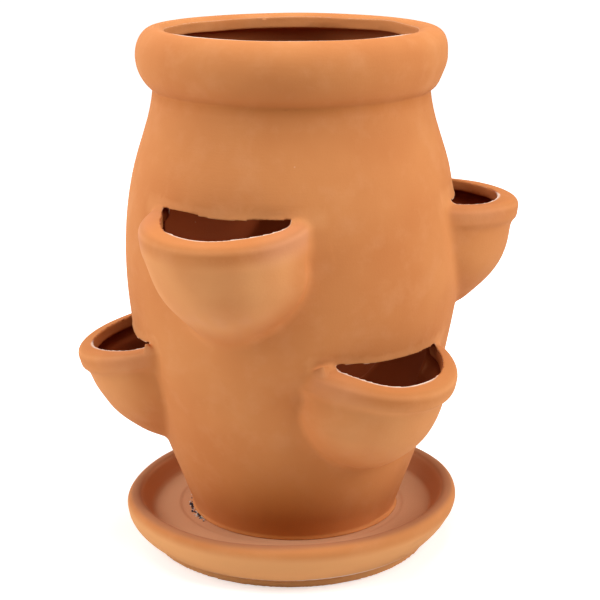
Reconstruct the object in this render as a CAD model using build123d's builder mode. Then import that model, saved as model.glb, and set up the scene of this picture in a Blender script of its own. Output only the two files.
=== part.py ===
"""Strawberry jar planter: a moulded terracotta jar with six planting pockets, standing in its saucer.

Millimetres. +Z is up, and the origin is the centre of the saucer's foot ring, on the ground.
One upper pocket faces -Y. The jar lifts straight off the saucer along +Z.
"""

import os
from math import acos, asin, cos, degrees, radians, sin
from typing import NamedTuple

from build123d import *

# Saucer: a pressed dish on a foot ring
saucer_radius = 104.5
saucer_height = 30.5
saucer_floor = 10.0  # clay under the jar
saucer_lip_round = 5.5
dish_slope = 60.0  # the dish's inner wall, in degrees from level
dish_corner = 4.0
flank_radius = 93.5  # where the outer wall ends, just above the foot
flank_height = 5.0
foot_ring_radius = 87.5
foot_ring_width = 14.0
foot_ring_height = 9.0
foot_edge_round = 1.5

# Jar: radii are outside radii, and heights are above the jar's own base
wall = 7.0
jar_height = 300.0
base_radius = 63.0
base_round = 3.0
base_inner_round = 8.0
haunch_radius, haunch_height = 79.5, 46.0
waist_radius, waist_height = 96.5, 110.0
belly_radius, belly_height = 101.5, 170.0
shoulder_radius, shoulder_drop = 93.5, 76.0  # measured down from the jar's top
neck_radius = 83.0
neck_slant = 6.0  # the wall's slant from plumb where it leaves the rim
base_slant = 19.0  # and where it meets the base
mouth_radius = 75.5
drain_radius = 9.0

# Rolled rim: a hollow, egg-shaped roll that the neck runs up into
roll_inset = 1.6  # from the neck's radius in to the middle of the roll
roll_width = 11.5
roll_rise = 16.5
roll_under_radius = 25.0  # the underside's round, from the widest part in to the neck
roll_dip = 2.0  # from the roll's crown down to the plane where the mouth is cut

# Pockets: closed bulges that lean out of the wall, with their tops cut open afterwards
pockets_per_tier = 3
lip_height = 22.0
lip_step = 12.0  # height over which the lip draws in to the bowl
lip_round = 5.0
lip_inner_round = 2.0
bowl_taper = 0.675  # share of a bowl's radius left at the same share of its depth
knife_shift = 3.0  # from the pocket's axis in to the middle of its opening
slice_rise = 1.8  # how far above the lip's plane the knife went through the foot of the jar's wall
inner_blend = 5.0  # rounding where a pocket's hollow opens into the jar's

upper_drop = 97.5  # from the jar's top down to the lip's plane, on the pocket's own axis
upper_reach = 90.5  # from the jar's axis to the pocket's
upper_lean = 8.0
upper_lip_radius = 50.0
upper_bowl_radius = 47.0
upper_bowl_depth = 77.0
upper_opening_radius = 40.0
upper_blend = 6.0  # rounding where the pocket grows out of the wall
upper_angle = -90.0

lower_height = 119.0  # of the lip's plane, above the jar's base
lower_reach = 87.5
lower_lean = 15.0
lower_lip_radius = 45.5
lower_bowl_radius = 42.0
lower_bowl_depth = 72.0
lower_opening_radius = 37.5
lower_blend = 5.0
lower_angle = -30.0

dish_height = foot_ring_height + saucer_floor
shoulder_height = jar_height - shoulder_drop
upper_height = jar_height - upper_drop
mouth_height = jar_height - roll_dip
roll_radius = neck_radius - roll_inset
roll_height = jar_height - roll_rise
under_sweep = degrees(acos(1 - (roll_width - roll_inset) / roll_under_radius))
neck_height = roll_height - roll_under_radius * sin(radians(under_sweep))
# The jar is turned from here: its seam runs down the middle of the front pocket, clear of every pocket's edge
jar_profile = Plane(origin=(0, 0, dish_height), x_dir=(0, -1, 0), z_dir=(-1, 0, 0))


class Tier(NamedTuple):
    """One ring of like pockets."""

    height: float
    reach: float
    lean: float
    lip: float
    bowl: float
    depth: float
    opening: float
    angle: float

    def places(self):
        """The pockets' own frames: origin on the lip's plane, +X outwards, +Z along the leaning axis."""
        leaning = Location((0, 0, dish_height + self.height), (0, self.lean, 0))
        spots = PolarLocations(self.reach, pockets_per_tier, start_angle=self.angle)
        return Locations(*[spot * leaning for spot in spots])


upper = Tier(
    upper_height,
    upper_reach,
    upper_lean,
    upper_lip_radius,
    upper_bowl_radius,
    upper_bowl_depth,
    upper_opening_radius,
    upper_angle,
)
lower = Tier(
    lower_height,
    lower_reach,
    lower_lean,
    lower_lip_radius,
    lower_bowl_radius,
    lower_bowl_depth,
    lower_opening_radius,
    lower_angle,
)


def wall_side(inset):
    """The wall's outline from the neck down to the base, drawn in by inset."""
    leaving_neck = (sin(radians(neck_slant)), -cos(radians(neck_slant)))
    meeting_base = (-sin(radians(base_slant)), -cos(radians(base_slant)))
    return Spline(
        (neck_radius - inset, neck_height),
        (shoulder_radius - inset, shoulder_height),
        (belly_radius - inset, belly_height),
        (waist_radius - inset, waist_height),
        (haunch_radius - inset, haunch_height),
        (base_radius - inset, 0),
        tangents=[leaving_neck, meeting_base],
    )


def jar_section(inset, base_corner):
    """Half section of the closed jar without its pockets, drawn in by inset all round."""
    roll_centre = (roll_radius, roll_height)
    width = roll_width - inset
    top = mouth_height - inset
    crown_sweep = 180 - degrees(asin((top - roll_height) / (roll_rise - inset)))
    with BuildSketch(jar_profile) as section:
        with BuildLine():
            crown = EllipticalCenterArc(roll_centre, width, roll_rise - inset, arc_size=crown_sweep)
            under = JernArc(
                (roll_radius + width, roll_height), (0, -1), roll_under_radius - inset, -under_sweep
            )
            side = wall_side(inset)
            if inset:
                TangentArc(under @ 1, side @ 0, tangent=under % 1)
            Polyline(side @ 1, (0, 0), (0, top), crown @ 1)
        make_face()
        if inset:
            split(bisect_by=Plane.XZ.offset(-inset), keep=Keep.BOTTOM)
        fillet(section.vertices().group_by(Axis.Y)[0].sort_by(Axis.X)[-1], radius=base_corner)
    return section.sketch


def pocket_bulge(tier, inset, lip_corner):
    """One closed pocket, drawn in by inset: flat top, rounded lip, then the step in to a tapering bowl."""
    lip = tier.lip - inset
    bowl = tier.bowl - inset
    bottom = tier.depth - inset
    with BuildPart() as bulge:
        with BuildSketch(Plane.XZ):
            with BuildLine():
                top = Line((0, -inset), (lip - lip_corner, -inset))
                edge = JernArc(top @ 1, (1, 0), lip_corner, -90)
                band = Line(edge @ 1, (lip, lip_step - lip_height))
                Spline(band @ 1, (bowl, -lip_height), tangents=[(0, -1), (0, -1)])
                side = Spline(
                    (bowl, -lip_height),
                    (bowl_taper * bowl, -lip_height - bowl_taper * (bottom - lip_height)),
                    (0, -bottom),
                    tangents=[(0, -1), (-1, 0)],
                )
                Line(side @ 1, top @ 0)
            make_face()
        revolve(axis=Axis.Z)
    return bulge.part


def jar_form(inset, base_corner, lip_corner, blends):
    """The whole closed shape, drawn in by inset: the jar's outside, or the hollow within its wall."""
    with BuildPart() as form:
        revolve(jar_section(inset, base_corner), axis=Axis.Z)
        for tier, blend in zip((upper, lower), blends):
            bulge = pocket_bulge(tier, inset, lip_corner)
            with tier.places():
                add(bulge)
            fillet(form.edges(Select.NEW), radius=blend)
    return form.part


# The knife slices each flat top off, and the foot of the jar's wall with it: a half-moon opening
with BuildPart() as pocket_cuts:
    for tier in (upper, lower):
        with tier.places():
            with Locations((-knife_shift, 0, slice_rise)):
                Cylinder(
                    tier.opening,
                    slice_rise + wall + lip_inner_round,
                    align=(Align.CENTER, Align.CENTER, Align.MAX),
                )

with BuildPart() as jar:
    add(jar_form(0, base_round, lip_round, (upper_blend, lower_blend)))
    add(
        jar_form(wall, base_inner_round, lip_inner_round, (inner_blend, inner_blend)),
        mode=Mode.SUBTRACT,
    )
    add(pocket_cuts.part, mode=Mode.SUBTRACT)
    with BuildSketch(Plane.XY.offset(dish_height + roll_height)):
        Circle(mouth_radius)
    extrude(amount=roll_rise, mode=Mode.SUBTRACT)
    with BuildSketch(Plane.XY.offset(dish_height)):
        Circle(drain_radius)
    extrude(amount=wall, mode=Mode.SUBTRACT)
jar.part.label = "jar"

with BuildPart() as saucer:
    with BuildSketch(Plane.XZ) as saucer_section:
        with BuildLine():
            widest = (saucer_radius, saucer_height - saucer_lip_round)
            lip = JernArc(widest, (0, 1), saucer_lip_round, 90 + dish_slope)
            dish_wall = PolarLine(
                lip @ 1, dish_height - (lip @ 1).Y, direction=lip % 1, length_mode=LengthMode.VERTICAL
            )
            Polyline(
                dish_wall @ 1,
                (0, dish_height),
                (0, foot_ring_height),
                (foot_ring_radius - foot_ring_width, foot_ring_height),
                (foot_ring_radius - foot_ring_width, 0),
                (foot_ring_radius, 0),
                (foot_ring_radius, flank_height),
                (flank_radius, flank_height),
            )
            TangentArc(widest, (flank_radius, flank_height), tangent=(0, -1))
        make_face()
        corners = saucer_section.vertices()
        fillet(corners.sort_by_distance(dish_wall @ 1)[0], radius=dish_corner)
        fillet(corners.group_by(Axis.Y)[0], radius=foot_edge_round)
    revolve(axis=Axis.Z)
saucer.part.label = "saucer"

os.makedirs("parts", exist_ok=True)
for piece in (jar, saucer):
    export_step(piece.part, f"parts/{piece.part.label}.step")
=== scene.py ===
import math
from typing import NamedTuple

import bmesh
import bpy
import numpy as np
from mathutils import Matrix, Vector
from mathutils.kdtree import KDTree


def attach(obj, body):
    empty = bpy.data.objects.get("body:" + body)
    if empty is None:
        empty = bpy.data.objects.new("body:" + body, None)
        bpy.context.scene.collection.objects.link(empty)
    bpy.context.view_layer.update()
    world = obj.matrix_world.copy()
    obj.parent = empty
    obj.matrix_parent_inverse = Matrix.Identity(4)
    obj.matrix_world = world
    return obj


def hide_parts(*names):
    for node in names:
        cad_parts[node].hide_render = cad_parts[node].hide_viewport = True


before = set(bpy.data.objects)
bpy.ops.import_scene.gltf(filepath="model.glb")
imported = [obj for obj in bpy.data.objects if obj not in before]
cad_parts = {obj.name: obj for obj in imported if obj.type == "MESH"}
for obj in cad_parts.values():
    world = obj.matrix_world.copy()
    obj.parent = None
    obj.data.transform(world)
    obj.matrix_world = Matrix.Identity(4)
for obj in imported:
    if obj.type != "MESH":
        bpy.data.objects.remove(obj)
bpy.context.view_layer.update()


# ---- Saucer ----
# A shallow dish of red earthenware, pressed in a mould, turned smooth and fired without a glaze.
# It stands on a low foot ring, and its floor carries the jar and the water that drains from it.

saucer_skin = 0.001
saucer_faces = 110_000
dish_floor = 0.019
high_turn = math.radians(23.5)  # round from +X to the side where the rim warped up in the kiln
side_lift, back_lift = 0.024, 0.012  # the rim's rise per metre outwards, to that side and to the back
flank_tuck = 0.0045  # how far the wall's lower half shrank in on its high side
foot_spread = 0.0021  # how far the foot splayed at the front
foot_lean = 0.6  # share of that by which it splayed more on the low side, and less on the high one
ledge_rise = 0.0008  # how far the wall's lower edge lifted at the front
flank_radius, flank_height = 0.0935, 0.005  # that edge, where the wall ends above the foot
edge_catch = 0.0014  # how far above the edge its painted highlight lies
ring_radius, ring_step = 0.0705, 0.0004  # the low round step that the jar stands inside
settled = 0.0018  # how far the jar's foot stands off the saucer's middle

# Spans over which something sets in or, where the second value is the lower one, fades out
rim_share, rim_start = (0.002, 0.028), (0.07, 0.09)  # heights, then radii, that follow the rim's warp
flank_ring, flank_foot, flank_top = (0.088, 0.0915), (0.003, 0.006), (0.027, 0.008)
foot_ring, foot_top = (0.079, 0.083), (0.005, 0.0035)
ledge_foot, ledge_top = (0.003, 0.0045), (0.014, 0.006)


def smooth_step(low, high, value):
    """0 below low, 1 above high, and a soft rise between."""
    t = np.clip((value - low) / (high - low), 0.0, 1.0)
    return t * t * (3.0 - 2.0 * t)


def swell(points, size, seed):
    """A slow random rise and fall between about -1 and 1, with humps about size across."""
    draw = np.random.default_rng(seed)
    waves = 14
    total = np.zeros(len(points))
    for _ in range(waves):
        direction = draw.normal(size=3)
        direction /= np.linalg.norm(direction)
        turn = draw.uniform(0.0, 2.0 * math.pi)
        length = size * draw.uniform(1.4, 2.6)
        total += np.sin(points @ direction * (2.0 * math.pi / length) + turn)
    return total / math.sqrt(waves)


def warp(points, size, reach, seed):
    """Moves the clay about by up to about reach, skin and core together."""
    shift = [swell(points, size, seed + axis) for axis in range(3)]
    return reach * np.stack(shift, axis=1)


def read_points(mesh):
    """A mesh's points, one to a row."""
    points = np.empty(len(mesh.vertices) * 3)
    mesh.vertices.foreach_get("co", points)
    return points.reshape(-1, 3)


def write_points(mesh, points):
    """Moves a mesh's points to the given places."""
    mesh.vertices.foreach_set("co", points.ravel())
    mesh.update()


def from_axis(points):
    """Each point's radius from the upright axis, and its direction outwards from it."""
    rho = np.hypot(points[:, 0], points[:, 1])
    return rho, points[:, :2] / np.maximum(rho, 1e-6)[:, None]


def applied(piece):
    """Turns a piece's modifiers into its mesh."""
    bpy.context.view_layer.update()
    seen = piece.evaluated_get(bpy.context.evaluated_depsgraph_get())
    mesh = bpy.data.meshes.new_from_object(seen)
    piece.modifiers.clear()
    piece.data = mesh
    return piece


def clay_skin(node, name, skin):
    """An even skin over a CAD node, fine enough to be pushed about like clay."""
    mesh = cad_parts[node].data.copy()
    work = bmesh.new()
    work.from_mesh(mesh)
    bmesh.ops.remove_doubles(work, verts=work.verts, dist=1e-6)
    work.to_mesh(mesh)
    work.free()
    piece = bpy.data.objects.new(name, mesh)
    bpy.context.scene.collection.objects.link(piece)
    cover = piece.modifiers.new("skin", "REMESH")
    cover.mode = "VOXEL"
    cover.voxel_size = skin
    rub = piece.modifiers.new("rub", "SMOOTH")
    rub.factor = 0.5
    rub.iterations = 3
    return applied(piece)


def thin_out(piece, faces):
    """Fewer faces where the clay is flat, as many as before along its edges."""
    piece.data.calc_loop_triangles()
    now = len(piece.data.loop_triangles)
    if now > faces:
        fewer = piece.modifiers.new("fewer", "DECIMATE")
        fewer.ratio = faces / now
        applied(piece)
    return piece


def paint(piece, name, values):
    """Stores one number for each point, for the material to read."""
    layer = piece.data.attributes.new(name, "FLOAT", "POINT")
    layer.data.foreach_set("value", values.astype(np.float32))


saucer = clay_skin("saucer", "saucer_clay", saucer_skin)
points = read_points(saucer.data)
rho, outwards = from_axis(points)
high_side = np.array([math.cos(high_turn), math.sin(high_turn)])
high_back = np.array([-high_side[1], high_side[0]])

# The rim, warped up to one side and a little at the back
lift = side_lift * (points[:, :2] @ high_side) + back_lift * np.maximum(points[:, :2] @ high_back, 0.0)
points[:, 2] += smooth_step(*rim_share, points[:, 2]) * smooth_step(*rim_start, rho) * lift

# The wall under it, tucked in, and the foot, splayed
flank = smooth_step(*flank_ring, rho) * smooth_step(*flank_foot, points[:, 2])
flank *= smooth_step(*flank_top, points[:, 2]) * np.maximum(outwards @ high_side, 0.0)
foot = smooth_step(*foot_ring, rho) * smooth_step(*foot_top, points[:, 2])
foot *= np.maximum(-(outwards @ high_back), 0.0) ** 3 - foot_lean * (outwards @ high_side)
points[:, :2] += (foot_spread * foot - flank_tuck * flank)[:, None] * outwards
ledge = smooth_step(*flank_ring, rho) * smooth_step(*ledge_foot, points[:, 2])
ledge *= smooth_step(*ledge_top, points[:, 2]) * np.maximum(-(outwards @ high_back), 0.0)
points[:, 2] += ledge_rise * ledge

# A slow unevenness all round, drawn in by as much so that nothing grows
free = smooth_step(0.0, 0.012, points[:, 2]) * smooth_step(0.066, 0.08, rho)
points += free[:, None] * warp(points, 0.05, 0.0003, 11)
points[:, :2] -= 0.0003 * free[:, None] * outwards

# The step in the floor
on_floor = smooth_step(dish_floor - 0.002, dish_floor - 0.001, points[:, 2]) * (
    1.0 - smooth_step(dish_floor + 0.001, dish_floor + 0.003, points[:, 2])
)
points[:, 2] += on_floor * ring_step * smooth_step(ring_radius - 0.0005, ring_radius + 0.0005, rho)
write_points(saucer.data, points)
thin_out(saucer, saucer_faces)
saucer.data.shade_smooth()

points = read_points(saucer.data)
rho, outwards = from_axis(points)
# The dish's floor is rosier, and the same paint runs up the inner wall as painted light on its shade
dish = smooth_step(dish_floor - 0.003, dish_floor - 0.001, points[:, 2]) * smooth_step(0.0965, 0.0945, rho)
# Painted light on the outer wall and the foot, paler where the floor's bounce would lift them
outer_wall = smooth_step(0.085, 0.087, rho) * smooth_step(0.027, 0.021, points[:, 2]) * (1.0 - dish)
# Painted shade darkens the lip's top
lip_top = smooth_step(0.024, 0.028, points[:, 2]) * smooth_step(0.1035, 0.1, rho) * (1.0 - dish)
# A painted highlight along the wall's lower edge
from_edge = np.hypot(rho - flank_radius, points[:, 2] - flank_height - edge_catch)
paint(saucer, "rosy_and_painted_light", dish)
paint(saucer, "dust_and_painted_light", outer_wall)
paint(saucer, "painted_shade", lip_top)
paint(saucer, "within", np.zeros(len(points)))
paint(saucer, "edge_mm", 600.0 * from_edge)  # under 1000, so that the line is drawn wider than 1 mm


def linear(hex_colour):
    """An sRGB hex colour as the linear RGBA that a shader takes."""
    parts = [int(hex_colour[k : k + 2], 16) / 255.0 for k in (0, 2, 4)]
    return [c / 12.92 if c <= 0.04045 else ((c + 0.055) / 1.055) ** 2.4 for c in parts] + [1.0]


def add_node(tree, kind, settings=None, **links):
    """Adds a node with its settings, and links its sockets, by name or as _0 for the first."""
    node = tree.nodes.new(kind)
    for key, value in (settings or {}).items():
        if isinstance(key, str) and hasattr(node, key):
            setattr(node, key, value)
        else:
            node.inputs[key].default_value = value
    for key, source in links.items():
        number = key[1:]
        socket = node.inputs[int(number) if number.isdigit() else key.replace("_", " ")]
        tree.links.new(source, socket)
    return node


def terracotta(name, fired, pale, dark, dust_and_painted_light, rosy_and_painted_light, painted_shade, inside_shade, edge_highlight):
    """Unglazed red earthenware, fired to a matt, dusty surface that drinks light and has no gloss."""
    material = bpy.data.materials.new(name)
    material.use_nodes = True
    tree = material.node_tree
    tree.nodes.clear()
    place = add_node(tree, "ShaderNodeTexCoord").outputs["Object"]

    # The kiln's heat: broad patches, about 70 mm across, a little redder or paler
    kiln = add_node(
        tree,
        "ShaderNodeTexNoise",
        {"Scale": 14.0, "Detail": 3.0, "Roughness": 0.5},
        Vector=place,
    )
    tone = add_node(
        tree,
        "ShaderNodeMapRange",
        {"From Min": 0.35, "From Max": 0.65},
        Value=kiln.outputs["Fac"],
    )
    body = add_node(
        tree,
        "ShaderNodeMix",
        {"data_type": "RGBA", 6: linear(dark), 7: linear(fired)},
        _0=tone.outputs["Result"],
    )

    # Dust and salts that the clay's water left as it dried: soft clouds of about 15 mm
    cloud = add_node(
        tree,
        "ShaderNodeTexNoise",
        {"Scale": 60.0, "Detail": 4.0, "Roughness": 0.6},
        Vector=place,
    )
    cloudy = add_node(
        tree,
        "ShaderNodeMapRange",
        {"From Min": 0.5, "From Max": 0.8, "To Max": 0.35},
        Value=cloud.outputs["Fac"],
    )
    skin = add_node(
        tree,
        "ShaderNodeMix",
        {"data_type": "RGBA", 7: linear(pale)},
        _0=cloudy.outputs["Result"],
        _6=body.outputs[2],
    )

    # Painted where they lie: a chalky dust that is also painted light, a rosy blush that is also painted
    # light on shaded walls, painted shade where less light falls and, within the jar, a deeper brown of
    # painted shade
    painted = {"dust_and_painted_light": dust_and_painted_light, "rosy_and_painted_light": rosy_and_painted_light, "painted_shade": painted_shade, "within": inside_shade}
    for attribute, colour in painted.items():
        amount = add_node(tree, "ShaderNodeAttribute", {"attribute_name": attribute})
        skin = add_node(
            tree,
            "ShaderNodeMix",
            {"data_type": "RGBA", 7: linear(colour)},
            _0=amount.outputs["Fac"],
            _6=skin.outputs[2],
        )

    # Lime in the clay: a pale speck about 1 mm across every ten centimetres or so
    lime = add_node(tree, "ShaderNodeTexVoronoi", {"Scale": 80.0, "Randomness": 1.0}, Vector=place)
    lime_chance = add_node(tree, "ShaderNodeSeparateColor", Color=lime.outputs["Color"])
    chosen = add_node(
        tree,
        "ShaderNodeMath",
        {"operation": "GREATER_THAN", 1: 0.975},
        _0=lime_chance.outputs[0],
    )
    near_lime = add_node(
        tree,
        "ShaderNodeMapRange",
        {"From Min": 0.03, "From Max": 0.06, "To Min": 0.3, "To Max": 0.0},
        Value=lime.outputs["Distance"],
    )
    speck = add_node(
        tree,
        "ShaderNodeMath",
        {"operation": "MULTIPLY"},
        _0=chosen.outputs[0],
        _1=near_lime.outputs["Result"],
    )
    specked = add_node(
        tree,
        "ShaderNodeMix",
        {"data_type": "RGBA", 7: linear("f0dcc0")},
        _0=speck.outputs[0],
        _6=skin.outputs[2],
    )

    # A painted highlight along a raw edge, a pale line about 1 mm wide
    edge = add_node(tree, "ShaderNodeAttribute", {"attribute_name": "edge_mm"})
    line = add_node(
        tree,
        "ShaderNodeMapRange",
        {"From Min": 0.4, "From Max": 1.1, "To Min": edge_highlight, "To Max": 0.0},
        Value=edge.outputs["Fac"],
    )
    edged = add_node(
        tree,
        "ShaderNodeMix",
        {"data_type": "RGBA", 7: linear("f6e6d6")},
        _0=line.outputs["Result"],
        _6=specked.outputs[2],
    )

    # Fine sand, drawn at about 1 mm so that it shows, and the faint rings of the turning tool
    sand = add_node(
        tree,
        "ShaderNodeTexNoise",
        {"Scale": 900.0, "Detail": 3.0, "Roughness": 0.6},
        Vector=place,
    )
    flat = add_node(tree, "ShaderNodeMapping", {"Scale": (1.0, 1.0, 14.0)}, Vector=place)
    rings = add_node(
        tree,
        "ShaderNodeTexNoise",
        {"Scale": 45.0, "Detail": 4.0, "Roughness": 0.55},
        Vector=flat.outputs[0],
    )
    turned = add_node(
        tree,
        "ShaderNodeBump",
        {"Strength": 0.16, "Distance": 0.0004},
        Height=rings.outputs["Fac"],
    )
    rough = add_node(
        tree,
        "ShaderNodeBump",
        {"Strength": 0.4, "Distance": 0.0002},
        Height=sand.outputs["Fac"],
        Normal=turned.outputs["Normal"],
    )
    clay = add_node(
        tree,
        "ShaderNodeBsdfPrincipled",
        {"Roughness": 0.85, "Specular IOR Level": 0.25, "IOR": 1.5},
        Base_Color=edged.outputs[2],
        Normal=rough.outputs["Normal"],
    )
    add_node(tree, "ShaderNodeOutputMaterial", Surface=clay.outputs["BSDF"])
    return material


saucer_terracotta = terracotta(
    "terracotta, pressed and fired",
    fired="d1884f",
    pale="da9866",
    dark="c87d45",
    dust_and_painted_light="e3a369",
    rosy_and_painted_light="d29a72",
    painted_shade="b1754f",
    inside_shade="8f5430",
    edge_highlight=0.9,
)
saucer.data.materials.clear()
saucer.data.materials.append(saucer_terracotta)
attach(saucer, "saucer")
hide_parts("saucer")


# ---- Kiln crumbs ----
# Flakes of kiln wash that stuck along the jar's foot in the firing and broke away with a little clay.
# They lie fused to the saucer's floor in a ragged line, some chalk white and some burnt to a blue-grey.

crumb_start, crumb_end = 187.0, 236.0  # degrees round the jar's foot
crumb_radius, crumb_scatter = 0.0652, 0.0011
crumb_least, crumb_most = 0.0005, 0.0013
crumb_seat = 0.0002  # how far a crumb's middle stands above the floor
crumb_flatness = 0.8
crumb_count = 70

draw = np.random.default_rng(7)
work = bmesh.new()
ash = []
for _ in range(crumb_count):
    turn = math.radians(draw.uniform(crumb_start, crumb_end))
    out = crumb_radius + draw.normal() * crumb_scatter
    middle = np.array([out * math.cos(turn), out * math.sin(turn), dish_floor + crumb_seat])
    middle[:2] += settled * high_side
    size = draw.uniform(crumb_least, crumb_most)
    corners = draw.normal(size=(12, 3))
    corners *= size * np.array([1.0, 1.0, crumb_flatness]) / np.linalg.norm(corners, axis=1)[:, None]
    made = [work.verts.new(Vector(middle + corner)) for corner in corners]
    bmesh.ops.convex_hull(work, input=made)
    ash += [float(draw.random() < 0.5)] * len(made)
crumb_mesh = bpy.data.meshes.new("kiln_crumbs")
work.to_mesh(crumb_mesh)
work.free()
crumbs = bpy.data.objects.new("kiln_crumbs", crumb_mesh)
bpy.context.scene.collection.objects.link(crumbs)
paint(crumbs, "ash", np.array(ash))

# Kiln wash: a powdery white that takes no shine, its burnt flakes a dark blue-grey, all specked with
# grime in grains of about 0.7 mm
kiln_wash = bpy.data.materials.new("kiln wash, flaked and burnt")
kiln_wash.use_nodes = True
tree = kiln_wash.node_tree
tree.nodes.clear()
place = add_node(tree, "ShaderNodeTexCoord").outputs["Object"]
grime = add_node(tree, "ShaderNodeTexNoise", {"Scale": 1500.0, "Detail": 2.0}, Vector=place)
burnt = add_node(tree, "ShaderNodeAttribute", {"attribute_name": "ash"})
flake = add_node(
    tree,
    "ShaderNodeMix",
    {"data_type": "RGBA", 6: linear("f2ece4"), 7: linear("3c3a44")},
    _0=burnt.outputs["Fac"],
)
grimy = add_node(
    tree,
    "ShaderNodeMix",
    {"data_type": "RGBA", "blend_type": "MULTIPLY", 0: 0.4},
    _6=flake.outputs[2],
    _7=grime.outputs["Color"],
)
powdery = add_node(
    tree,
    "ShaderNodeBump",
    {"Strength": 0.5, "Distance": 0.0002},
    Height=grime.outputs["Fac"],
)
wash = add_node(
    tree,
    "ShaderNodeBsdfPrincipled",
    {"Roughness": 0.95, "Specular IOR Level": 0.2},
    Base_Color=grimy.outputs[2],
    Normal=powdery.outputs["Normal"],
)
add_node(tree, "ShaderNodeOutputMaterial", Surface=wash.outputs["BSDF"])
crumbs.data.materials.append(kiln_wash)
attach(crumbs, "saucer")


# ---- Jar ----
# One shell of red earthenware about 7 mm thick, moulded with its rolled rim and six pockets.
# The pocket mouths and the jar's mouth were cut open with a knife while the clay was leather-hard.

jar_skin = 0.0008
jar_faces = 190_000
wall_heights = [0.0, 0.046, 0.110, 0.170, 0.224, 0.2636]  # above the jar's base
wall_radii = [0.063, 0.0795, 0.0965, 0.1015, 0.0935, 0.083]  # of the outer wall, at those heights
roll_centre, roll_size = (0.0814, 0.3025), (0.0115, 0.0165)  # the rim's roll, across and up
roll_foot, roll_under = 0.2805, (0.280, 0.287)  # the crease under it, and the heights where it sets in
mouth_radius, mouth_top = 0.0755, 0.317  # the upper edge of the cut through the roll
knife_top = 0.0024  # no cut into a pocket reaches higher above the lip's plane

# What this one jar's clay did before and while it was fired
roll_fuller = 0.0016  # the roll's extra girth over the shoulder at the high side
fuller_side = 0.94 * high_side + 0.34 * high_back
mouth_sunk = 0.0012  # how far the mouth's edge sagged at the front
belly_height, belly_width, belly_out = 0.165, 0.025, 0.0015  # a slight bulge at the high side
wall_shrink, top_shrink = 0.0004, 0.0003
bead_start, bead_end = -22.0, 26.0  # degrees round the foot
bead_height, bead_width, bead_reach = 0.0018, 0.0011, 0.0011  # a bead of slip at the foot
skirt_width, skirt_reach = 0.0014, 0.0028  # and the slip that fills the joint all round it


class Pocket(NamedTuple):
    """One pocket as it was moulded, then what its clay did before it was fired."""

    turn: float  # degrees round the jar
    height: float  # of the lip's middle, above the ground
    reach: float  # of the lip's middle, from the jar's axis
    lean: float  # degrees outwards from plumb
    lip: float  # its outer radius
    depth: float  # from the lip's plane to the bottom
    tuck: float = 0.0035  # how far the lip's lower edge was pushed up when it was trimmed
    push: float = 0.0  # how far the lip's front came out
    dip: float = 0.0  # how far the lip sank beside the wall
    fill: float = 0.0  # thickness of clay left under the lip
    shallow: float = 0.0  # how the bottom rose, per metre of depth squared
    slump: float = 0.0  # degrees that the bowl swung round the jar
    pinch: float = 0.0  # how far the lip closed in over its left end
    spread: tuple = (0.0, 0.0)  # degrees that its slumped side ran on along the wall, at lip and bowl
    dust_and_painted_light: float = 0.15  # how chalky the bowl is, and how much painted light lifts it
    rosy_and_painted_light: float = 0.1  # how rosy the lip's ends are


upper = {"height": 0.2215, "reach": 0.0905, "lean": 8.0, "lip": 0.050, "depth": 0.077}
lower = {"height": 0.138, "reach": 0.0875, "lean": 15.0, "lip": 0.0455, "depth": 0.072}
front_pocket = {"slump": 3.2, "spread": (-1.0, -1.2), "pinch": 0.0024, "dust_and_painted_light": 0.7, "rosy_and_painted_light": 0.22}
pockets = [
    Pocket(-90.0, **upper, tuck=0.0, fill=0.0026, shallow=2.8, **front_pocket),
    Pocket(30.0, **upper, dip=0.0035, shallow=-1.0),
    Pocket(150.0, **upper, shallow=1.0),
    Pocket(-30.0, **lower, slump=-2.8, spread=(5.0, 4.5), dust_and_painted_light=0.55),
    Pocket(90.0, **lower, shallow=1.0),
    Pocket(210.0, **lower, push=0.0022, shallow=1.2, dust_and_painted_light=0.5),
]


def pocket_axes(pocket):
    """A pocket's own directions: outwards, sideways and up its leaning axis."""
    turn, lean = math.radians(pocket.turn), math.radians(pocket.lean)
    out = np.array([math.cos(turn), math.sin(turn), 0.0])
    front = math.cos(lean) * out - np.array([0.0, 0.0, math.sin(lean)])
    side = np.array([-math.sin(turn), math.cos(turn), 0.0])
    axis = math.sin(lean) * out + np.array([0.0, 0.0, math.cos(lean)])
    return np.stack([front, side, axis])


def seen_from_pocket(points, pocket):
    """Each point's place from the middle of a pocket's lip, along the pocket's own directions."""
    turn = math.radians(pocket.turn)
    middle = np.array([pocket.reach * math.cos(turn), pocket.reach * math.sin(turn), pocket.height])
    return ((points - middle) @ pocket_axes(pocket).T).T


def knife_edges(node, lowest, sharp=0.9, spacing=0.0004):
    """Points along the sharp edges of a CAD node's cuts, from lowest above or below each cut's top."""
    work = bmesh.new()
    work.from_mesh(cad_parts[node].data)
    bmesh.ops.remove_doubles(work, verts=work.verts, dist=1e-6)
    found = []
    for edge in work.edges:
        if len(edge.link_faces) == 2 and edge.calc_face_angle(0.0) > sharp:
            a, b = (np.array(v.co) for v in edge.verts)
            steps = max(1, int(np.linalg.norm(b - a) / spacing))
            found += [a + (b - a) * (k / steps) for k in range(steps)]
    work.free()
    found = np.array(found)
    rho, _ = from_axis(found)
    cut = (found[:, 2] > mouth_top + lowest) & (rho < mouth_radius + 0.001)
    for pocket in pockets:
        front, side, rise = seen_from_pocket(found, pocket)
        cut |= (rise > lowest) & (rise < knife_top) & (np.hypot(front, side) < pocket.lip)
    return found[cut]


def proud_of_wall(points):
    """How far each point stands out from the jar's own outer wall."""
    rho, _ = from_axis(points)
    return rho - np.interp(points[:, 2] - dish_floor, wall_heights, wall_radii)


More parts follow.
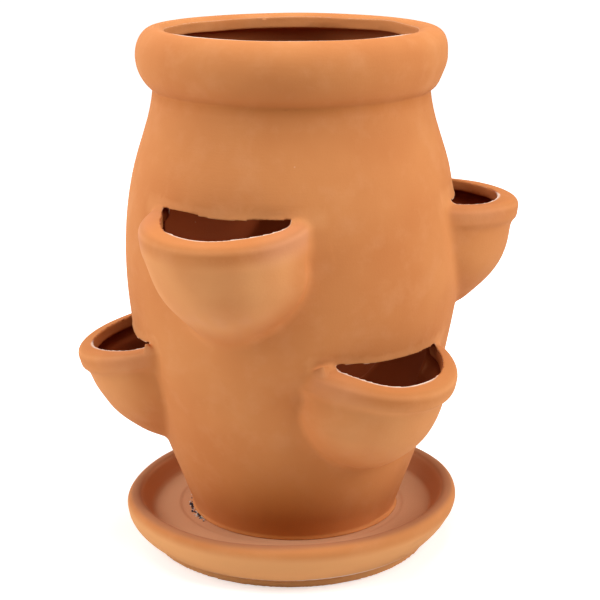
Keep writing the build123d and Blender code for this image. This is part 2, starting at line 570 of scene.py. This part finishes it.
def pressed(points, near, pocket):
    """How far a pocket's own clay was pushed: near is each point's distance from a knife's edge."""
    out, across, up = pocket_axes(pocket)
    front, side, rise = seen_from_pocket(points, pocket)
    apart = np.hypot(front, side)
    own = smooth_step(0.0, 0.008, proud_of_wall(points))
    own = own * ((apart < pocket.lip + 0.01) & (rise > -pocket.depth - 0.01) & (rise < 0.006))

    # The lip's lower edge and the bowl's bottom, up the axis
    lift = pocket.tuck * np.exp(-(((rise + 0.019) / 0.007) ** 2))
    lift += pocket.shallow * np.maximum(-0.04 - rise, 0.0) ** 2
    push = (own * lift)[:, None] * up

    # The clay under the lip and the lip's front, outwards
    filled = pocket.fill * smooth_step(-0.009, -0.021, rise) * smooth_step(-0.058, -0.03, rise)
    away = (front[:, None] * out + side[:, None] * across) / np.maximum(apart, 1e-6)[:, None]
    push += (own * filled)[:, None] * away
    pushed = pocket.push * smooth_step(0.0, 0.03, front) * smooth_step(-0.035, -0.02, rise)
    push += (own * pushed)[:, None] * out

    # The cut's left end, closed in sideways, and the lip's ends, sunk beside the wall
    closed = pocket.pinch * np.exp(-((near / 0.006) ** 2)) * smooth_step(-0.022, -0.034, side)
    push += (own * closed * smooth_step(-0.002, 0.006, front))[:, None] * across
    about = smooth_step(pocket.lip + 0.012, pocket.lip - 0.002, apart) * smooth_step(0.02, 0.003, rise)
    sunk = pocket.dip * about * smooth_step(-0.06, -0.03, rise) * smooth_step(0.045, -0.005, front)
    push[:, 2] -= sunk
    return push


def swung(points, pocket):
    """How many degrees a pocket's clay swung round the jar as it slumped."""
    _, _, rise = seen_from_pocket(points, pocket)
    round_jar = np.degrees(np.arctan2(points[:, 1], points[:, 0]))
    apart = (round_jar - pocket.turn + 180.0) % 360.0 - 180.0
    window = smooth_step(58.0, 40.0, np.abs(apart)) * smooth_step(0.02, 0.004, rise)
    window *= smooth_step(-0.098, -0.08, rise)
    sense = math.copysign(1.0, pocket.slump)
    bowl = smooth_step(-0.006, -0.036, rise)
    at_lip, at_bowl = pocket.spread
    run_on = at_lip + (at_bowl - at_lip) * bowl
    beside = smooth_step(17.0 - 11.0 * bowl, 30.0 - 10.0 * bowl, sense * apart)
    return window * (pocket.slump * bowl + sense * run_on * beside)


def moulded(points, near):
    """Where the clay of this one jar ended up: near is each point's distance from a knife's edge."""
    moved = points.copy()
    rho, outwards = from_axis(points)
    swing = np.zeros(len(points))
    for pocket in pockets:
        moved += pressed(points, near, pocket)
        swing += swung(points, pocket)
    swing = np.radians(swing)
    x, y = moved[:, 0].copy(), moved[:, 1].copy()
    moved[:, 0] = x * np.cos(swing) - y * np.sin(swing)
    moved[:, 1] = x * np.sin(swing) + y * np.cos(swing)

    # The rim's roll came out fuller over one shoulder and flatter under it, and its mouth sagged in front
    round_roll = np.arctan2(
        (points[:, 2] - roll_centre[1]) / roll_size[1], (rho - roll_centre[0]) / roll_size[0]
    )
    on_roll = smooth_step(*roll_under, points[:, 2]) * (np.abs(round_roll) < 0.5 * math.pi)
    fuller = roll_fuller * on_roll * np.sin(2.0 * round_roll) * np.abs(np.sin(2.0 * round_roll))
    fuller *= np.maximum(outwards @ fuller_side, 0.0)
    moved[:, :2] += (fuller * np.cos(round_roll))[:, None] * outwards
    moved[:, 2] += fuller * np.abs(np.sin(round_roll))
    to_mouth = np.hypot(rho - mouth_radius, points[:, 2] - mouth_top) / 0.005
    moved[:, 2] -= mouth_sunk * np.exp(-(to_mouth**2)) * np.maximum(-(outwards @ high_back), 0.0)

    # The belly, the slow unevenness of the whole wall, and the quick one of the knife's edges
    belly = np.exp(-(((points[:, 2] - belly_height) / belly_width) ** 2))
    belly *= np.maximum(outwards @ high_side, 0.0) ** 2
    moved[:, :2] += belly_out * belly[:, None] * outwards
    off_seat = smooth_step(dish_floor, dish_floor + 0.03, points[:, 2])
    moved += off_seat[:, None] * warp(points, 0.07, 0.0004, 31) * [1.0, 1.0, 0.4]
    moved[:, 2] -= off_seat * top_shrink
    moved[:, :2] -= wall_shrink * off_seat[:, None] * outwards
    moved += np.exp(-((near / 0.005) ** 2))[:, None] * warp(points, 0.022, 0.0005, 51)
    moved[:, :2] += settled * smooth_step(0.16, 0.03, points[:, 2])[:, None] * high_side

    # Slip squeezed out under the foot
    round_jar = np.degrees(np.arctan2(points[:, 1], points[:, 0]))
    above_floor = points[:, 2] - dish_floor
    bead = smooth_step(bead_start, bead_start + 8.0, round_jar)
    bead *= smooth_step(bead_end, bead_end - 8.0, round_jar)
    slip = bead_reach * bead * np.exp(-(((above_floor - bead_height) / bead_width) ** 2))
    slip += skirt_reach * np.exp(-((above_floor / skirt_width) ** 2))
    moved[:, :2] += (slip * smooth_step(0.057, 0.060, rho))[:, None] * outwards
    return moved


def distances(points, targets):
    """How far each point is from the nearest of the targets."""
    tree = KDTree(len(targets))
    for k, target in enumerate(targets):
        tree.insert(target, k)
    tree.balance()
    return np.array([tree.find(point)[2] for point in points])


jar = clay_skin("jar", "jar_clay", jar_skin)
points = read_points(jar.data)
write_points(jar.data, moulded(points, distances(points, knife_edges("jar", lowest=-0.008))))
edges = knife_edges("jar", lowest=-0.003)
edges = moulded(edges, np.zeros(len(edges)))
thin_out(jar, jar_faces)
jar.data.shade_smooth()

points = read_points(jar.data)
normals = np.empty(len(points) * 3)
jar.data.vertex_normals.foreach_get("vector", normals)
normals = normals.reshape(-1, 3)
proud = proud_of_wall(points)
rho, outwards = from_axis(points)
front_back = points[:, :2] @ high_back
below_mouth = smooth_step(0.3095, 0.308, points[:, 2])

# Painted shade on the jar's inside, a little less of it towards the mouth
facing = np.sum(normals[:, :2] * outwards, axis=1)
within = smooth_step(-0.05, -0.4, facing) * below_mouth
within = np.where(proud < -0.004, np.maximum(within, below_mouth), within)
within *= 1.0 - 0.3 * smooth_step(0.23, 0.27, points[:, 2])

# Each pocket's marks: painted shade within, dust that is also painted light and a rosy patch on the bowl,
# rosy ends to the lip, painted shade on its top, and a painted highlight along the side of the cut that
# faces the front
dust_and_painted_light, rosy_and_painted_light, lip_top_shade = np.zeros((3, len(points)))
highlight_dimmed = np.where(points[:, 2] > 0.31, 1.0, 0.0)
for pocket in pockets:
    axes = pocket_axes(pocket)
    front, side, rise = seen_from_pocket(points, pocket)
    own = (np.hypot(front, side) < pocket.lip + 0.006) & (rise > -pocket.depth - 0.004)
    own &= (rise < 0.006) & (proud > -0.002)
    away = np.stack([front, side, rise + 0.015], axis=1) @ axes
    away /= np.maximum(np.linalg.norm(away, axis=1), 1e-6)[:, None]
    outer = smooth_step(0.0, 0.3, np.sum(normals * away, axis=1))
    within = np.where(own & (rise < -0.001), (1.0 - outer) * smooth_step(-0.006, -0.0085, rise), within)

    on_bowl = smooth_step(-0.005, -0.014, rise) * smooth_step(0.006, 0.024, proud)
    on_bowl *= 0.9 + 0.15 * swell(points, 0.012, 91)
    bowl_dust_and_light = outer * (pocket.dust_and_painted_light * on_bowl + 0.25 * smooth_step(-0.007, -0.002, rise))
    dust_and_painted_light = np.where(own, np.maximum(dust_and_painted_light, bowl_dust_and_light), dust_and_painted_light)

    patch = np.exp(-(((rise + 0.046) / 0.009) ** 2)) * smooth_step(0.045, 0.025, np.abs(side))
    patch *= 0.4 * outer * np.clip(0.5 + 0.5 * swell(points, 0.006, 92), 0.0, 1.0)
    lip_end = smooth_step(0.55 * pocket.lip, 0.9 * pocket.lip, np.abs(side))
    lip_end *= smooth_step(-0.018, -0.006, rise) * outer * smooth_step(0.001, 0.006, proud)
    rosy_and_painted_light = np.where(own, np.maximum(rosy_and_painted_light, pocket.rosy_and_painted_light * np.maximum(lip_end, patch)), rosy_and_painted_light)

    # Painted shade on the lip's upward face
    lip_top = smooth_step(-0.012, -0.005, rise) * smooth_step(0.3, 0.8, normals[:, 2])
    lip_top *= smooth_step(0.0, 0.005, proud)
    lip_top_shade = np.where(own, np.maximum(lip_top_shade, lip_top), lip_top_shade)

    # Painted highlight on the side of the cut that faces the front
    across_cut = (front - 0.02)[:, None] * axes[0] + side[:, None] * axes[1]
    highlight_side = smooth_step(-0.006, 0.008, -(across_cut[:, :2] @ high_back))
    highlight_side *= 0.1 + 0.9 * smooth_step(0.0, 0.004, proud)
    highlight_dimmed = np.where(own, 1.0 - highlight_side, highlight_dimmed)

# Painted shade low on the front, where the saucer's rim shades the foot, on the lips' upward faces and in
# the crease under the roll
in_front = np.degrees(np.arctan2(points[:, 1], points[:, 0])) + 71.5
painted_shade = smooth_step(0.1, 0.03, points[:, 2]) * np.exp(-((in_front / 36.0) ** 2))
painted_shade += 0.4 * lip_top_shade + 0.5 * np.exp(-(((points[:, 2] - roll_foot) / 0.0035) ** 2))
paint(jar, "dust_and_painted_light", np.clip(dust_and_painted_light, 0.0, 1.0))
paint(jar, "rosy_and_painted_light", np.clip(rosy_and_painted_light, 0.0, 1.0))
paint(jar, "painted_shade", painted_shade * (1.0 - within))
paint(jar, "within", np.clip(within, 0.0, 1.0))

# The painted highlights, drawn about twice too wide so that they show: along the cuts, and over the roll's
# crest at the front
edge_mm = 520.0 * distances(points, edges) + 0.8 * highlight_dimmed
from_crest = 520.0 * np.abs(rho - 0.0807) + 1.5 * smooth_step(-0.06, -0.03, front_back)
edge_mm = np.where((points[:, 2] > 0.31) & (rho > 0.076), np.minimum(edge_mm, from_crest), edge_mm)
paint(jar, "edge_mm", edge_mm)

jar_terracotta = terracotta(
    "terracotta, moulded and fired",
    fired="d1884f",
    pale="da9866",
    dark="c67a43",
    dust_and_painted_light="e29f66",
    rosy_and_painted_light="dda58e",
    painted_shade="ad6429",
    inside_shade="8c3b0e",
    edge_highlight=0.85,
)
jar.data.materials.clear()
jar.data.materials.append(jar_terracotta)
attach(jar, "jar")
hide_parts("jar")


# ---- Floor, light and camera ----
# A white paper sweep, brighter away from the jar so that only the jar's own soft shadow shows on it.
# Four square soft boxes stand round it, the strongest at the right and overhead.

look_turn, look_down = math.radians(23.5), math.radians(15.36)
look_height, look_distance = 0.1509, 0.9877
towards = Vector((math.sin(look_turn), -math.cos(look_turn), 0.0))
across = Vector((math.cos(look_turn), math.sin(look_turn), 0.0))
up = Vector((0.0, 0.0, 1.0))
middle = look_height * up

floor_mesh = bpy.data.meshes.new("floor")
work = bmesh.new()
bmesh.ops.create_circle(work, cap_ends=True, segments=96, radius=6.0)
work.to_mesh(floor_mesh)
work.free()
floor = bpy.data.objects.new("floor", floor_mesh)
bpy.context.scene.collection.objects.link(floor)

# Matt paper, with a glow of its own that only the camera and reflections see: no light on the jar
paper = bpy.data.materials.new("white paper sweep")
paper.use_nodes = True
tree = paper.node_tree
tree.nodes.clear()
matt = add_node(tree, "ShaderNodeBsdfDiffuse", {"Color": linear("e8e6e3")})
spot = add_node(tree, "ShaderNodeTexCoord").outputs["Object"]
apart = add_node(tree, "ShaderNodeVectorMath", {"operation": "LENGTH"}, _0=spot)
far = add_node(
    tree,
    "ShaderNodeMapRange",
    {"From Min": 0.15, "From Max": 0.6, "To Min": 0.5, "To Max": 1.0},
    Value=apart.outputs["Value"],
)
glow = add_node(
    tree,
    "ShaderNodeEmission",
    {"Color": (1.0, 1.0, 1.0, 1.0)},
    Strength=far.outputs["Result"],
)
both = add_node(tree, "ShaderNodeAddShader", _0=matt.outputs[0], _1=glow.outputs[0])
ray = add_node(tree, "ShaderNodeLightPath")
seen = add_node(
    tree,
    "ShaderNodeMath",
    {"operation": "MAXIMUM"},
    _0=ray.outputs["Is Camera Ray"],
    _1=ray.outputs["Is Glossy Ray"],
)
shown = add_node(tree, "ShaderNodeMixShader", _0=seen.outputs[0], _1=matt.outputs[0], _2=both.outputs[0])
add_node(tree, "ShaderNodeOutputMaterial", Surface=shown.outputs[0])
floor.data.materials.append(paper)

world = bpy.data.worlds.new("studio")
bpy.context.scene.world = world
world.use_nodes = True
tree = world.node_tree
tree.nodes.clear()
ray = add_node(tree, "ShaderNodeLightPath")
direct = add_node(
    tree,
    "ShaderNodeMath",
    {"operation": "MAXIMUM"},
    _0=ray.outputs["Is Camera Ray"],
    _1=ray.outputs["Is Glossy Ray"],
)
seen = add_node(
    tree,
    "ShaderNodeMath",
    {"operation": "MAXIMUM"},
    _0=direct.outputs[0],
    _1=ray.outputs["Is Transmission Ray"],
)
strength = add_node(tree, "ShaderNodeMapRange", {"To Min": 0.1, "To Max": 1.0}, Value=seen.outputs[0])
room = add_node(
    tree,
    "ShaderNodeBackground",
    {"Color": (1.0, 1.0, 1.0, 1.0)},
    Strength=strength.outputs["Result"],
)
add_node(tree, "ShaderNodeOutputWorld", Surface=room.outputs[0])


def aimed(name, data, place):
    """Sets up a lamp or the camera at a place, facing the middle of the jar."""
    held = bpy.data.objects.new(name, data)
    held.location = place
    held.rotation_euler = (middle - held.location).to_track_quat("-Z", "Y").to_euler()
    bpy.context.scene.collection.objects.link(held)
    return held


soft_boxes = {
    "left light": (-1.05 * across + 0.3 * towards + 0.75 * up, 10.4),
    "right light": (0.96 * across + 0.4 * towards + 0.9 * up, 12.8),
    "top light": (0.1 * towards + 1.5 * up, 11.5),
    "back light": (-0.8 * across - 0.8 * towards + 0.75 * up, 3.0),
}
for name, (place, watts) in soft_boxes.items():
    lamp = bpy.data.lights.new(name, "AREA")
    lamp.shape = "SQUARE"
    lamp.size = 0.8
    lamp.energy = watts
    aimed(name, lamp, place)

lens = bpy.data.cameras.new("camera")
lens.sensor_width = 36.0
lens.lens = 96.0
lens.shift_x = 0.0142
look_from = middle + look_distance * (math.cos(look_down) * towards + math.sin(look_down) * up)
camera = aimed("camera", lens, look_from)
bpy.context.scene.camera = camera
bpy.context.scene.view_settings.view_transform = "Standard"
